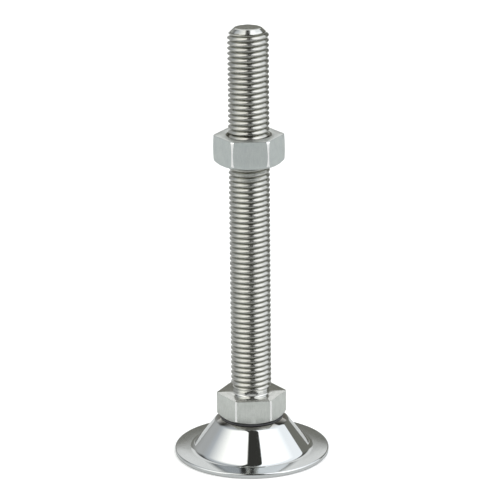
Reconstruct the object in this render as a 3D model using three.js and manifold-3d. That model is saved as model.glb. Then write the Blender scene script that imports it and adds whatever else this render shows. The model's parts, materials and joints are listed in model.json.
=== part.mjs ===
// A tilting furniture levelling foot: a threaded spindle with an integral hexagon, a lock nut on its
// thread, and a pressed dished base that the spindle tilts and turns in. Millimetres, +Z up, with the
// floor at z = 0.
import * as THREE from "three";
import { mergeVertices } from "three/addons/utils/BufferGeometryUtils.js";
import Module from "manifold-3d";

const wasm = await Module();
wasm.setup();

// Base, a dish pressed from sheet
const BASE_RADIUS = 30;
const SHEET = 2;
const FLANGE_WIDTH = 6; // flat part of the rim, outside the fillet
const FLANGE_FILLET = 2.4; // concave, on the upper side of the sheet
const RIM_ROUNDING = 0.6;
const CROWN_RADIUS = 30; // the spherical crown that the spindle tilts on
const CROWN_EDGE_HEIGHT = 13.3; // where the crown and the cone would meet, above the floor
const CROWN_MARGIN = 0.57; // how far the crown reaches past the hexagon's corners
const SHOULDER_BEND = 0.2; // inside radius of the bend between crown and cone
const TILT_LIMIT = THREE.MathUtils.degToRad(5);

// Spindle
const THREAD_DIAMETER = 15.7;
const THREAD_PITCH = 2;
const THREAD_DEPTH = 1.2;
const CREST_HEIGHT = 1.67; // height of a crest over the +X axis, above the floor, to a whole pitch
const STUD_LENGTH = 144; // from the top of the hexagon to the end of the thread
const TIP_CHAMFER_DEPTH = 2.95; // on the radius
const TIP_CHAMFER_LENGTH = 2.8;
const NECK_STEP = 0.3; // above the thread's root
const NECK_LENGTH = 2.2;
const THREAD_START_CHAMFER = 1.2;
const HEX_FLATS = 23.7;
const HEX_HEIGHT = 9.21; // up the middle of one flat
const HEX_TURN = THREE.MathUtils.degToRad(3.7);
const HEX_CHAMFER = THREE.MathUtils.degToRad(30);
const JOURNAL_DIAMETER = 10; // the plain end that passes through the base
const JOURNAL_END_CHAMFER = 0.4;
const RING_LAND = 0.8; // what is left of the journal below the ring's groove
const GROOVE_DEPTH = 0.6;

// Lock nut
const NUT_FLATS = 23.8;
const NUT_HEIGHT = 11;
const NUT_RISE = 92; // its underside, above the top of the spindle's hexagon
const NUT_TURN = THREE.MathUtils.degToRad(2.2);
const NUT_CHAMFER = THREE.MathUtils.degToRad(30);
const NUT_CHAMFER_RISE = 0.3; // how far the lower chamfer cuts up the middle of a flat
const COUNTERSINK_BITE = 0.85; // how far the countersinks open out past the thread
const THREAD_CLEARANCE = 0.3;

// Liner between the crown and the hollow seat under the hexagon
const LINER_THICKNESS = 0.5;
const LINER_WIDTH = 4.15;
const LINER_GAP = 0.12; // on either side of it

// Pieces under the crown
const JOURNAL_CLEARANCE = 0.35;
const TILT_CLEARANCE = 0.4; // what is left round the journal at the tilt's limit
const LAYER_GAP = 0.3; // between the crown and the spherical washer
const STACK_GAP = 0.2; // between two flat layers
const SPHERICAL_WASHER_WIDTH = 5.15;
const SPHERICAL_WASHER_RIM = 1.9;
const SPRING_CLEARANCE = 1; // round the journal
const SPRING_WIDTH = 3;
const SPRING_THICKNESS = 0.5;
const SPRING_WAVE = 0.5; // half of the rise from trough to crest
const SPRING_WAVES = 3;
const FLAT_WASHER_WIDTH = 4.15;
const FLAT_WASHER_THICKNESS = 1.2;
const RING_THICKNESS = 1;
const RING_WIDTH = 1.9;
const RING_OPENING = THREE.MathUtils.degToRad(50);
const RING_GROOVE_GAP = 0.15;
const RING_LUG_RADIUS = 1.6;
const RING_LUG_HOLE = 0.7;

// Fineness of the curves
const THREAD_STEPS = 16; // per turn
const ROUND_SEGMENTS = 48;
const SMALL_SEGMENTS = 32;
const HOLE_SEGMENTS = 12;
const ARC_STEPS = 4;

// Sizes that follow from the ones above
const journalRadius = JOURNAL_DIAMETER / 2;
const threadRadius = THREAD_DIAMETER / 2;
const neckRadius = threadRadius - THREAD_DEPTH + NECK_STEP;
const tipRadius = threadRadius - TIP_CHAMFER_DEPTH;
const hexCornerRadius = HEX_FLATS / Math.sqrt(3);
const crownEdgeRadius = hexCornerRadius + CROWN_MARGIN;
const pivotHeight = CROWN_EDGE_HEIGHT - sphereHeight(CROWN_RADIUS, crownEdgeRadius);
const shoulderRounding = SHOULDER_BEND + SHEET;
const baseHoleRadius = tiltingBore(CROWN_RADIUS);
const washerBoreRadius = journalRadius + JOURNAL_CLEARANCE;
const sphericalWasherRadius = washerBoreRadius + SPHERICAL_WASHER_WIDTH;
const springInnerRadius = journalRadius + SPRING_CLEARANCE;
const grooveRadius = journalRadius - GROOVE_DEPTH;

// Heights above the pivot
const linerInnerRadius = CROWN_RADIUS + LINER_GAP;
const linerOuterRadius = linerInnerRadius + LINER_THICKNESS;
const seatRadius = linerOuterRadius + LINER_GAP;
const hexLowEdge = sphereHeight(seatRadius, HEX_FLATS / 2);
const hexTop = hexLowEdge + HEX_HEIGHT;
const tipHeight = hexTop + STUD_LENGTH;
const washerSphereRadius = CROWN_RADIUS - SHEET - LAYER_GAP;
const sphericalWasherBottom =
  sphereHeight(washerSphereRadius, sphericalWasherRadius) - SPHERICAL_WASHER_RIM;
const springMiddle = sphericalWasherBottom - STACK_GAP - SPRING_WAVE - SPRING_THICKNESS / 2;
const flatWasherTop = springMiddle - SPRING_WAVE - SPRING_THICKNESS / 2 - STACK_GAP;
const flatWasherBottom = flatWasherTop - FLAT_WASHER_THICKNESS;
const ringTop = flatWasherBottom - RING_GROOVE_GAP;
const ringBottom = ringTop - RING_THICKNESS;
const grooveTop = ringTop + RING_GROOVE_GAP;
const grooveBottom = ringBottom - RING_GROOVE_GAP;
const journalEnd = grooveBottom - RING_LAND;

// Height of a sphere's surface above its centre, at a distance from its axis.
function sphereHeight(sphereRadius, distance) {
  return Math.sqrt(sphereRadius ** 2 - distance ** 2);
}

// Radius of a hole in a spherical layer that the journal tilts in.
function tiltingBore(layerRadius) {
  return JOURNAL_DIAMETER / 2 + layerRadius * Math.sin(TILT_LIMIT) + TILT_CLEARANCE;
}

// A closed profile of (radius, height) points turned round the Z axis.
function turned(profile, segments) {
  const points = profile.map(([radius, height]) => new THREE.Vector2(radius, height));
  return new THREE.LatheGeometry(points, segments).rotateX(Math.PI / 2);
}

// Points along an arc of a profile, both ends included.
function arc([radius, height], size, from, to, steps = ARC_STEPS) {
  const curve = new THREE.ArcCurve(radius, height, size, from, to, to < from);
  return curve.getPoints(steps).map((point) => [point.x, point.y]);
}

// Points along a sphere about the pivot, from one distance from the axis to another.
function sphereArc(sphereRadius, fromDistance, toDistance, steps = ARC_STEPS) {
  const from = Math.acos(fromDistance / sphereRadius);
  const to = Math.acos(toDistance / sphereRadius);
  return arc([0, 0], sphereRadius, from, to, steps);
}

function closed(profile) {
  return [...profile, profile[0]];
}

// A geometry as a solid that can be joined and cut.
function solid(geometry) {
  const bare = geometry.clone();
  bare.deleteAttribute("normal");
  bare.deleteAttribute("uv");
  const merged = mergeVertices(bare, 1e-4);
  return new wasm.Manifold(
    new wasm.Mesh({
      numProp: 3,
      vertProperties: merged.attributes.position.array,
      triVerts: new Uint32Array(merged.index.array),
    }),
  );
}

function geometryOf(body) {
  const mesh = body.getMesh();
  const geometry = new THREE.BufferGeometry();
  geometry.setAttribute("position", new THREE.BufferAttribute(mesh.vertProperties, 3));
  geometry.setIndex(new THREE.BufferAttribute(mesh.triVerts, 1));
  const flat = geometry.toNonIndexed();
  flat.computeVertexNormals();
  return flat;
}

// A rod with a right-hand thread that passes a crest over the +X axis at crestHeight. Its surface is one
// spiral strip up each flank, and a fan round the axis closes each end.
function threadedRod(crestRadius, crestHeight, bottom, top) {
  const rootRadius = crestRadius - THREAD_DEPTH;
  const firstTurn = Math.floor((bottom - crestHeight) / THREAD_PITCH) - 1;
  const turns = Math.ceil((top - crestHeight) / THREAD_PITCH) + 2 - firstTurn;
  const steps = turns * THREAD_STEPS;
  const rootSteps = steps - THREAD_STEPS;
  const start = crestHeight + firstTurn * THREAD_PITCH;
  const positions = [];
  const triangles = [];
  const pointAt = (step, radius, rise) => {
    const angle = (step / THREAD_STEPS) * 2 * Math.PI;
    const height = start + (step / THREAD_STEPS) * THREAD_PITCH + rise;
    positions.push(radius * Math.cos(angle), radius * Math.sin(angle), height);
  };
  for (let step = 0; step <= steps; step += 1) pointAt(step, crestRadius, 0);
  for (let step = 0; step <= rootSteps; step += 1) pointAt(step, rootRadius, THREAD_PITCH / 2);
  pointAt(0, 0, 0);
  pointAt(steps, 0, 0);
  const crest = (step) => step;
  const root = (step) => steps + 1 + step;
  const lowEnd = root(rootSteps) + 1;
  const highEnd = lowEnd + 1;
  const strip = (a, b, c, d) => triangles.push(a, b, c, a, c, d);
  for (let step = 0; step < rootSteps; step += 1) {
    const above = step + THREAD_STEPS;
    strip(crest(step), crest(step + 1), root(step + 1), root(step));
    strip(root(step), root(step + 1), crest(above + 1), crest(above));
  }
  for (let step = 0; step < THREAD_STEPS; step += 1) {
    const high = rootSteps + step;
    triangles.push(lowEnd, crest(step + 1), crest(step));
    triangles.push(highEnd, crest(high), crest(high + 1));
  }
  triangles.push(lowEnd, crest(0), root(0), lowEnd, root(0), crest(THREAD_STEPS));
  triangles.push(highEnd, crest(steps), root(rootSteps));
  triangles.push(highEnd, root(rootSteps), crest(rootSteps));
  const geometry = new THREE.BufferGeometry();
  geometry.setAttribute("position", new THREE.Float32BufferAttribute(positions, 3));
  geometry.setIndex(triangles);
  return geometry;
}

// A hexagonal bar with one flat facing -Y before its turn.
function hexBar(acrossFlats, turn, bottom, top) {
  const cornerRadius = acrossFlats / Math.sqrt(3);
  return new THREE.CylinderGeometry(cornerRadius, cornerRadius, top - bottom, 6)
    .rotateX(Math.PI / 2)
    .rotateZ(Math.PI / 6 + turn)
    .translate(0, 0, (bottom + top) / 2);
}

// The turned body that chamfers the lower corners of a hexagon whose flats end at lowEdge.
function cornerChamfer(acrossFlats, angle, lowEdge, top) {
  const slope = Math.tan(angle);
  const outside = acrossFlats;
  const profile = [
    [0, lowEdge - (acrossFlats / 2) * slope],
    [outside, lowEdge + (outside - acrossFlats / 2) * slope],
    [outside, top + acrossFlats],
    [0, top + acrossFlats],
  ];
  return turned(profile, ROUND_SEGMENTS);
}

function threadedSpindle() {
  const crestHeight = CREST_HEIGHT - pivotHeight;
  const threadFoot = hexTop + NECK_LENGTH;
  const outside = threadRadius + THREAD_PITCH;
  const startSlope = THREAD_START_CHAMFER / (threadRadius - neckRadius);
  const tipSlope = TIP_CHAMFER_LENGTH / TIP_CHAMFER_DEPTH;
  const envelope = [
    [0, threadFoot],
    [neckRadius, threadFoot],
    [outside, threadFoot + (outside - neckRadius) * startSlope],
    [outside, tipHeight - (outside - tipRadius) * tipSlope],
    [tipRadius, tipHeight],
    [0, tipHeight],
  ];
  const rod = solid(threadedRod(threadRadius, crestHeight, threadFoot, tipHeight));
  const thread = rod.intersect(solid(turned(envelope, SMALL_SEGMENTS)));
  const rooted = hexTop - HEX_HEIGHT / 4;
  const neck = [
    [0, rooted],
    [neckRadius, rooted],
    [neckRadius, threadFoot + THREAD_DEPTH / 2],
    [0, threadFoot + THREAD_DEPTH / 2],
  ];
  const journal = [
    [0, journalEnd],
    [journalRadius - JOURNAL_END_CHAMFER, journalEnd],
    [journalRadius, journalEnd + JOURNAL_END_CHAMFER],
    [journalRadius, grooveBottom],
    [grooveRadius, grooveBottom],
    [grooveRadius, grooveTop],
    [journalRadius, grooveTop],
    [journalRadius, rooted],
    [0, rooted],
  ];
  const seat = [[0, 0], ...sphereArc(seatRadius, crownEdgeRadius, 0, 2 * ARC_STEPS)];
  const block = solid(hexBar(HEX_FLATS, HEX_TURN, 0, hexTop))
    .intersect(solid(cornerChamfer(HEX_FLATS, HEX_CHAMFER, hexLowEdge, hexTop)))
    .subtract(solid(turned(seat, ROUND_SEGMENTS)));
  const body = block
    .add(solid(turned(journal, SMALL_SEGMENTS)))
    .add(solid(turned(neck, SMALL_SEGMENTS)))
    .add(thread);
  return geometryOf(body);
}

// The nut stands on its own origin, with its thread in step with the spindle's.
function lockNut(height) {
  const crestHeight = CREST_HEIGHT - pivotHeight - height;
  const boreRadius = threadRadius + THREAD_CLEARANCE;
  const mouthRadius = threadRadius + COUNTERSINK_BITE;
  const depth = COUNTERSINK_BITE + THREAD_DEPTH;
  const countersink = (end, side) => {
    const profile = [
      [0, end - side * depth],
      [mouthRadius - depth, end - side * depth],
      [mouthRadius + THREAD_PITCH, end + side * THREAD_PITCH],
      [0, end + side * THREAD_PITCH],
    ];
    return solid(turned(side > 0 ? profile : profile.reverse(), SMALL_SEGMENTS));
  };
  const tap = solid(threadedRod(boreRadius, crestHeight, 0, NUT_HEIGHT));
  const body = solid(hexBar(NUT_FLATS, NUT_TURN, 0, NUT_HEIGHT))
    .intersect(solid(cornerChamfer(NUT_FLATS, NUT_CHAMFER, NUT_CHAMFER_RISE, NUT_HEIGHT)))
    .subtract(tap)
    .subtract(countersink(0, -1))
    .subtract(countersink(NUT_HEIGHT, 1));
  return geometryOf(body);
}

// Both sides of the sheet share the centre of each bend, so the wall is the same all the way.
function baseDome() {
  const footRadius = BASE_RADIUS - FLANGE_WIDTH;
  const fillet = [footRadius, SHEET + FLANGE_FILLET];
  const run = footRadius - crownEdgeRadius;
  const drop = fillet[1] - CROWN_EDGE_HEIGHT;
  const fall = Math.atan2(drop, run) - Math.asin(FLANGE_FILLET / Math.hypot(run, drop));
  const outward = fall + Math.PI / 2;
  const filletDistance = fillet[0] * Math.cos(outward) + fillet[1] * Math.sin(outward);
  const coneDistance = filletDistance - FLANGE_FILLET;
  const shoulder = shoulderCentre(outward, coneDistance);
  const crownAngle = Math.atan2(shoulder[1] - pivotHeight, shoulder[0]);
  const pivot = [0, pivotHeight];
  const holeAngle = (radius) => Math.acos(baseHoleRadius / radius);
  const innerCrown = CROWN_RADIUS - SHEET;
  const upper = [
    ...arc(pivot, CROWN_RADIUS, holeAngle(CROWN_RADIUS), crownAngle),
    ...arc(shoulder, shoulderRounding, crownAngle, outward),
    ...arc(fillet, FLANGE_FILLET, outward + Math.PI, 1.5 * Math.PI),
    ...arc([BASE_RADIUS - RIM_ROUNDING, SHEET - RIM_ROUNDING], RIM_ROUNDING, Math.PI / 2, 0, 2),
  ];
  const lower = [
    ...arc([BASE_RADIUS - RIM_ROUNDING, RIM_ROUNDING], RIM_ROUNDING, 0, -Math.PI / 2, 2),
    ...arc(fillet, FLANGE_FILLET + SHEET, 1.5 * Math.PI, outward + Math.PI),
    ...arc(shoulder, SHOULDER_BEND, outward, crownAngle, 1),
    ...arc(pivot, innerCrown, crownAngle, holeAngle(innerCrown)),
  ];
  return turned(closed([...upper, ...lower].reverse()), ROUND_SEGMENTS);
}

// Centre of the rounding that touches the crown and the cone from inside.
function shoulderCentre(outward, coneDistance) {
  const fromPivot = CROWN_RADIUS - shoulderRounding;
  const fromCone = coneDistance - shoulderRounding - pivotHeight * Math.sin(outward);
  const angle = outward + Math.acos(fromCone / fromPivot);
  return [fromPivot * Math.cos(angle), pivotHeight + fromPivot * Math.sin(angle)];
}

function seatLiner() {
  const bore = tiltingBore(linerOuterRadius);
  const profile = [
    ...sphereArc(linerInnerRadius, bore, bore + LINER_WIDTH),
    ...sphereArc(linerOuterRadius, bore + LINER_WIDTH, bore),
  ];
  return turned(closed(profile), ROUND_SEGMENTS);
}

function sphericalWasher() {
  const profile = [
    [washerBoreRadius, sphericalWasherBottom],
    [sphericalWasherRadius, sphericalWasherBottom],
    ...sphereArc(washerSphereRadius, sphericalWasherRadius, washerBoreRadius),
  ];
  return turned(closed(profile), SMALL_SEGMENTS);
}

// A flat ring bent up and down in even waves round the axis.
function waveSpring() {
  const half = SPRING_THICKNESS / 2;
  const outerRadius = springInnerRadius + SPRING_WIDTH;
  const profile = [
    [springInnerRadius, -half],
    [outerRadius, -half],
    [outerRadius, half],
    [springInnerRadius, half],
  ];
  const spring = turned(closed(profile), ROUND_SEGMENTS);
  const place = spring.attributes.position;
  for (let i = 0; i < place.count; i += 1) {
    const angle = Math.atan2(place.getY(i), place.getX(i));
    place.setZ(i, place.getZ(i) + SPRING_WAVE * Math.cos(SPRING_WAVES * angle));
  }
  return spring;
}

function flatWasher() {
  const outerRadius = washerBoreRadius + FLAT_WASHER_WIDTH;
  const profile = [
    [washerBoreRadius, flatWasherBottom],
    [outerRadius, flatWasherBottom],
    [outerRadius, flatWasherTop],
    [washerBoreRadius, flatWasherTop],
  ];
  return turned(closed(profile), SMALL_SEGMENTS);
}

// An open ring with two lugs for pliers, sprung into the journal's groove.
function retainingRing() {
  const innerRadius = grooveRadius + RING_GROOVE_GAP;
  const outerRadius = innerRadius + RING_WIDTH;
  const lugDistance = innerRadius + RING_LUG_RADIUS;
  const middle = -Math.PI / 2;
  const from = middle + RING_OPENING / 2;
  const to = middle - RING_OPENING / 2 + 2 * Math.PI;
  const outline = new THREE.Shape();
  outline.absarc(0, 0, outerRadius, from, to, false);
  outline.absarc(0, 0, innerRadius, to, from, true);
  const extrude = (shape) =>
    new THREE.ExtrudeGeometry(shape, {
      depth: RING_THICKNESS,
      bevelEnabled: false,
      curveSegments: SMALL_SEGMENTS / 2,
    });
  const lug = (angle) => {
    const shape = new THREE.Shape();
    const x = lugDistance * Math.cos(angle);
    const y = lugDistance * Math.sin(angle);
    shape.absarc(x, y, RING_LUG_RADIUS, 0, 2 * Math.PI, false);
    return solid(extrude(shape));
  };
  const hole = (angle) => {
    const x = lugDistance * Math.cos(angle);
    const y = lugDistance * Math.sin(angle);
    const depth = 3 * RING_THICKNESS;
    const drill = new THREE.CylinderGeometry(RING_LUG_HOLE, RING_LUG_HOLE, depth, HOLE_SEGMENTS);
    return solid(drill.rotateX(Math.PI / 2).translate(x, y, RING_THICKNESS / 2));
  };
  const inset = RING_LUG_RADIUS / lugDistance / 2;
  const body = solid(extrude(outline))
    .add(lug(from + inset))
    .add(lug(to - inset))
    .subtract(hole(from + inset))
    .subtract(hole(to - inset));
  return geometryOf(body);
}

function steel(colour, roughness) {
  return new THREE.MeshStandardMaterial({ color: colour, roughness, metalness: 1 });
}

function plastic(colour) {
  return new THREE.MeshStandardMaterial({ color: colour, roughness: 0.6, metalness: 0 });
}

function piece(name, geometry, material, height = 0) {
  const mesh = new THREE.Mesh(geometry, material);
  mesh.name = name;
  mesh.position.z = height;
  return mesh;
}

// The pieces that tilt together are placed from the pivot, the centre of every spherical seat.
const nutHeight = hexTop + NUT_RISE;
const aboutPivot = new THREE.Group();
aboutPivot.position.z = pivotHeight;
aboutPivot.add(
  piece("threaded_spindle", threadedSpindle(), steel(0xc9c8c2, 0.3)),
  piece("lock_nut", lockNut(nutHeight), steel(0xbfc2bf, 0.38), nutHeight),
  piece("seat_liner", seatLiner(), plastic(0x2b2c2d)),
  piece("spherical_washer", sphericalWasher(), steel(0xb4b6b5, 0.35)),
  piece("wave_spring", waveSpring(), steel(0x9c9d9b, 0.3), springMiddle),
  piece("flat_washer", flatWasher(), steel(0xb8bab8, 0.35)),
  piece("retaining_ring", retainingRing(), steel(0x4a4845, 0.45), ringBottom),
);

const foot = new THREE.Group();
foot.add(piece("base_dome", baseDome(), steel(0xd8dad9, 0.08)), aboutPivot);

export default foot;
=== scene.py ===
import json
from math import acos, asin, atan2, cos, hypot, pi, radians, sin, sqrt, tan

import bmesh
import bpy
from mathutils import Matrix, Vector


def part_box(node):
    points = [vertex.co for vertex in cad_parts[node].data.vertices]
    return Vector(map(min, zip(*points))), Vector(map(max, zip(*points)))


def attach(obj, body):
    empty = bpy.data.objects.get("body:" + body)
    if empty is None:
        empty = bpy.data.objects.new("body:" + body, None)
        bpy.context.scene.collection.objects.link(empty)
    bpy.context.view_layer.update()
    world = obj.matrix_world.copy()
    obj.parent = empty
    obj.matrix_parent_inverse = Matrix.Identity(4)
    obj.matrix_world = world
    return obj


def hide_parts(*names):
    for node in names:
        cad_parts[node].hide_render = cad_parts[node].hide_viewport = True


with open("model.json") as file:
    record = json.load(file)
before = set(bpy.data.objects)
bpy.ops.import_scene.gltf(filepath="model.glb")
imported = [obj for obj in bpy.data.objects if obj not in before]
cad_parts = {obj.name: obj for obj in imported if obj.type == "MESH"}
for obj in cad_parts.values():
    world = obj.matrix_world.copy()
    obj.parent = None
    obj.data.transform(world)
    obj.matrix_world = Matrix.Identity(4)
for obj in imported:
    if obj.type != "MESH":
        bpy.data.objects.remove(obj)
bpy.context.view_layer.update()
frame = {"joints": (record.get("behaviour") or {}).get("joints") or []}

MM = 0.001  # pieces are shaped in millimetres and brought to metres when they are finished


def height_range(node):
    """Lowest and highest point of a CAD node, in millimetres."""
    low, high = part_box(node)
    return low.z / MM, high.z / MM


def joint(name):
    return next(row for row in frame["joints"] if row["name"] == name)


# Base, a dish pressed from sheet
BASE_RADIUS = 30.0
SHEET = 2.0
FLANGE_WIDTH = 6.0
FLANGE_FILLET = 2.4
RIM_ROUNDING = 0.6
CROWN_RADIUS = 30.0
CROWN_EDGE_HEIGHT = 13.3
CROWN_MARGIN = 0.57
SHOULDER_BEND = 0.2
TILT_LIMIT = radians(5.0)
HOLE_EASE = 0.25

# Spindle
THREAD_DIAMETER = 15.7
THREAD_PITCH = 2.0
THREAD_DEPTH = 1.2
FLANK_ANGLE = radians(60.0)  # how far a flank's face turns up or down from facing straight out
CREST_HEIGHT = 1.67
STUD_LENGTH = 144.0
TIP_CHAMFER_DEPTH = 2.95
TIP_CHAMFER_LENGTH = 2.8
NECK_STEP = 0.3  # above the thread's root
NECK_LENGTH = 2.2
NECK_FILLET = 0.4
THREAD_START_CHAMFER = 1.2
HEX_FLATS = 23.7
HEX_CORNERS = 26.95  # across its trimmed corners
HEX_HEIGHT = 9.21
HEX_TURN = radians(3.7)
CHAMFER = radians(30.0)
JOURNAL_DIAMETER = 10.0
JOURNAL_END_CHAMFER = 0.4
RING_LAND = 0.8
GROOVE_DEPTH = 0.6

# Lock nut
NUT_FLATS = 23.8
NUT_CORNERS = 27.12  # across the trimmed corners, at half height
NUT_CORNER_FALL = 0.42  # how much less it measures there at its two ends
NUT_TURN = radians(2.2)
NUT_CHAMFER_RISE = 0.3
COUNTERSINK_BITE = 0.85
THREAD_CLEARANCE = 0.3

# Liner between the crown and the hollow seat under the hexagon
LINER_THICKNESS = 0.5
LINER_WIDTH = 4.15
LINER_GAP = 0.12

# Pieces under the crown
JOURNAL_CLEARANCE = 0.35
TILT_CLEARANCE = 0.4
LAYER_GAP = 0.3
SPHERICAL_WASHER_WIDTH = 5.15
SPRING_CLEARANCE = 1.0
SPRING_WIDTH = 3.0
SPRING_THICKNESS = 0.5
SPRING_WAVE = 0.5
SPRING_WAVES = 3
FLAT_WASHER_WIDTH = 4.15
RING_WIDTH = 1.9
RING_OPENING = radians(50.0)
RING_GROOVE_GAP = 0.15
RING_LUG_RADIUS = 1.6
RING_LUG_HOLE = 0.7

# Fineness of the meshes
ROUND_STEPS = 192
SMALL_STEPS = 96
THREAD_STEPS = 72
FLAT_STEPS = 24
CORNER_STEPS = 4
EDGE_STEPS = 3
MERGE = 0.001  # points closer than this are one point
SHARP = radians(20.0)
SHARP_AT_TIP = 0.3

# Where the finishes and the painted shade change
# Painted shade in the thread's roots and on its crests, standing in for the dark reflections there
ROOT_SHADE_FULL = 0.1  # above the root, painted shade at its darkest up to here
ROOT_SHADE_END = 0.4  # above the root, no painted shade from here
CREST_SHADE_START = 0.22  # below the crest, painted shade starts here
CREST_SHADE_FULL = 0.06  # below the crest, painted shade at its darkest from here
CREST_SHADE_STRENGTH = 0.3
# Painted shade on the crown round the hexagon's seat: how dark it is, and where it fades
CROWN_SHADE = 0.55
CROWN_SHADE_WIDTH = 1.5  # inwards from the crown's edge
CROWN_SHADE_END = 0.1  # outwards from the crown's edge
FLANGE_HAZE = 0.06
FLANGE_HAZE_START = 1.5  # inwards from the flange
FLANGE_HAZE_FULL = 0.5  # outwards from where the flange starts

# Places that follow
journal_end, tip_height = height_range("threaded_spindle")
nut_bottom, nut_top = height_range("lock_nut")
pivot_height = joint("tilt")["pos_m"][2] / MM
thread_radius = THREAD_DIAMETER / 2
root_radius = thread_radius - THREAD_DEPTH
neck_radius = root_radius + NECK_STEP
tip_radius = thread_radius - TIP_CHAMFER_DEPTH
journal_radius = JOURNAL_DIAMETER / 2
groove_radius = journal_radius - GROOVE_DEPTH
bore_radius = thread_radius + THREAD_CLEARANCE  # to the bottom of the nut's thread
washer_bore = journal_radius + JOURNAL_CLEARANCE
hex_top = tip_height - STUD_LENGTH
hex_low_edge = hex_top - HEX_HEIGHT
thread_foot = hex_top + NECK_LENGTH
liner_inner_radius = CROWN_RADIUS + LINER_GAP
liner_outer_radius = liner_inner_radius + LINER_THICKNESS
seat_radius = liner_outer_radius + LINER_GAP
crown_edge_radius = HEX_FLATS / sqrt(3) + CROWN_MARGIN
groove_bottom = journal_end + RING_LAND


def sphere_height(sphere_radius, distance):
    """Height of a sphere about the pivot, at a distance from the axis."""
    return pivot_height + sqrt(sphere_radius**2 - distance**2)


def tilting_bore(layer_radius):
    """Radius of a hole in a spherical layer that the journal tilts in."""
    return journal_radius + layer_radius * sin(TILT_LIMIT) + TILT_CLEARANCE


# Shaping


def arc(centre, radius, start, end, steps):
    """Points of an outline along an arc, both ends included."""
    turns = [start + (end - start) * i / steps for i in range(steps + 1)]
    return [(centre[0] + radius * cos(t), centre[1] + radius * sin(t)) for t in turns]


def sphere_arc(sphere_radius, start, end, steps):
    """Points along a sphere about the pivot, from one distance from the axis to another."""
    first, last = acos(start / sphere_radius), acos(end / sphere_radius)
    return arc((0, pivot_height), sphere_radius, first, last, steps)


def eased(before, corner, after, ease):
    """A corner of an outline, rounded off so that the curve starts the given way from it."""
    before, corner, after = Vector(before), Vector(corner), Vector(after)
    start = corner + (before - corner).normalized() * ease
    end = corner + (after - corner).normalized() * ease
    shares = [i / EDGE_STEPS for i in range(EDGE_STEPS + 1)]
    curve = [start * (1 - s) ** 2 + corner * 2 * s * (1 - s) + end * s**2 for s in shares]
    return [tuple(point) for point in curve]


def all_eased(outline, ease):
    """A closed outline with every corner rounded off."""
    places = range(len(outline))
    rounds = [eased(outline[i - 1], outline[i], outline[(i + 1) % len(outline)], ease) for i in places]
    return [point for corner in rounds for point in corner]


def wire(bm, outline, closed=True):
    """The outline as a chain of edges in the XZ plane."""
    verts = [bm.verts.new((radius, 0, height)) for radius, height in outline]
    ends = verts[1:] + verts[:1] if closed else verts[1:]
    return verts + [bm.edges.new(pair) for pair in zip(verts, ends)]


def turn(bm, outline, steps=ROUND_STEPS):
    """A closed outline turned all the way round the axis."""
    bmesh.ops.spin(
        bm, geom=wire(bm, outline), cent=(0, 0, 0), axis=(0, 0, 1), angle=2 * pi, steps=steps, use_merge=True
    )


def new_parts(made, kind):
    return [part for part in made["geom"] if isinstance(part, kind)]


def circle_row(radius, height, steps, turned=0.0):
    """Where the steps of a ring lie on a circle, in line with the steps of a hexagon's row."""
    first = -pi / 2 + turned - pi / 6 * FLAT_STEPS / (FLAT_STEPS + CORNER_STEPS)

    def place(step):
        angle = first + 2 * pi * step / steps
        return Vector((radius * cos(angle), radius * sin(angle), height))

    return place


def hexagon_row(flats, corners, turned, height, pull=0.0):
    """Where the steps of a ring lie on a hexagon whose corners are trimmed by a circle.

    height is a number, or a function of the distance from the axis. pull moves the row inwards."""
    half, trim = flats / 2 - pull, corners / 2 - pull
    reach = sqrt(trim**2 - half**2)
    edge_angle = atan2(reach, half)
    side_steps = FLAT_STEPS + CORNER_STEPS

    def place(step):
        side, along = divmod(step, side_steps)
        if along <= FLAT_STEPS:
            point = Vector((half, reach * (2 * along / FLAT_STEPS - 1)))
        else:
            swing = (pi / 3 - 2 * edge_angle) * (along - FLAT_STEPS) / CORNER_STEPS
            point = Vector((trim * cos(edge_angle + swing), trim * sin(edge_angle + swing)))
        rise = height(point.length) if callable(height) else height
        spin = Matrix.Rotation(side * pi / 3 - pi / 2 + turned, 3, "Z")
        return spin @ Vector((point.x, point.y, rise))

    return place


def first_ring(bm, steps, place):
    """A ring of edges. Each vertex keeps its step, so that every further ring can be placed by it."""
    mark = bm.verts.layers.int.get("step") or bm.verts.layers.int.new("step")
    verts = bmesh.ops.create_circle(bm, segments=steps, radius=1.0)["verts"]
    for step, vert in enumerate(verts):
        vert[mark] = step
        vert.co = place(step)
    return list({edge for vert in verts for edge in vert.link_edges})


def next_ring(bm, edges, place):
    """Extrudes a ring of edges to a new row and gives the new ring."""
    mark = bm.verts.layers.int["step"]
    made = bmesh.ops.extrude_edge_only(bm, edges=edges)
    for vert in new_parts(made, bmesh.types.BMVert):
        vert.co = place(vert[mark])
    return [edge for edge in new_parts(made, bmesh.types.BMEdge) if edge.is_boundary]


def stretch_to(bm, edges, radius, height):
    """Extrudes a ring of edges to a circle, each vertex straight in or out from where it was."""
    made = bmesh.ops.extrude_edge_only(bm, edges=edges)
    for vert in new_parts(made, bmesh.types.BMVert):
        vert.co = (Vector((vert.co.x, vert.co.y, 0)).normalized() * radius) + Vector((0, 0, height))
    return [edge for edge in new_parts(made, bmesh.types.BMEdge) if edge.is_boundary]


def mark_sharp(bm, limit=SHARP, above=-1.0):
    """Keeps the edges above a height sharp where the faces turn by more than the limit."""
    for edge in bm.edges:
        if min(vert.co.z for vert in edge.verts) > above:
            edge.smooth = not (edge.is_manifold and edge.calc_face_angle(0.0) > limit)


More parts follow.
